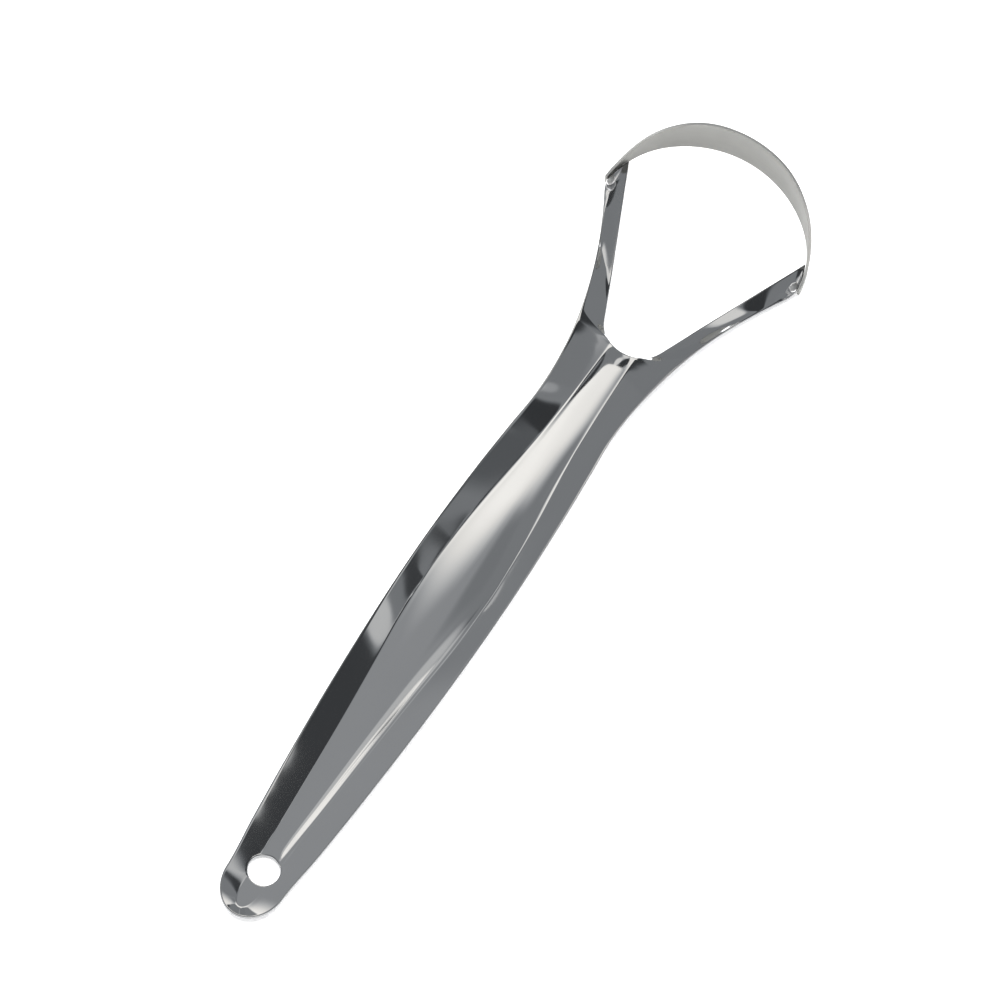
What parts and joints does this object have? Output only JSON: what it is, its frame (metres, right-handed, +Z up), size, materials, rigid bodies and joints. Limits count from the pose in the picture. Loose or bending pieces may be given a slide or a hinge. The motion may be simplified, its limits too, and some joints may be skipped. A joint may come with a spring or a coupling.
{
  "type": "tongue scraper",
  "caption": "Pressed stainless sheet handle with a ridged grip and hanging hole, forked to carry a thin band on edge that scrapes the tongue.",
  "frame": {"origin": "centre of the part's footprint, on the surface that it lies on", "axes": "+Y runs along the handle from its end to the loop, +Z points up from the surface, X is across"},
  "size_m": [0.0354, 0.1502, 0.0132],
  "materials": {
    "polished_sheet": "mirror-polished stainless steel",
    "satin_band": "satin stainless steel",
    "weld_metal": "polished weld metal"
  },
  "bodies": {
    "root": {"handle": "polished_sheet", "scraping_band": "satin_band", "weld_beads": "weld_metal"}
  },
  "joints": []
}
